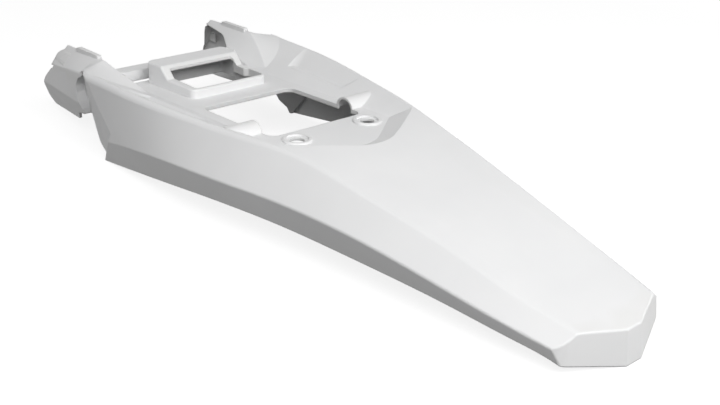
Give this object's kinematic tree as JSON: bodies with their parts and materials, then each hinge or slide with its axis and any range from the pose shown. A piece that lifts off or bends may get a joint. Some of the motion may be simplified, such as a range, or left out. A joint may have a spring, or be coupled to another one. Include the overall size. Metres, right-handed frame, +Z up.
{
  "type": "motorcycle rear fender",
  "caption": "Moulded rear fender of an off-road motorcycle: long tapering deck with folded-down sides, a windowed tray under the seat, and channel arms that reach forward.",
  "frame": {"origin": "midway between the two rear bolt holes, on the seats that the bolt heads clamp", "axes": "+X runs back along the deck to the tail, +Y across the fender, +Z up along the bolt axes, away from the wheel"},
  "size_m": [0.7394, 0.2686, 0.1113],
  "materials": {
    "white_plastic": "satin white moulded plastic, plain"
  },
  "bodies": {
    "root": {"fender": "white_plastic"}
  },
  "joints": []
}
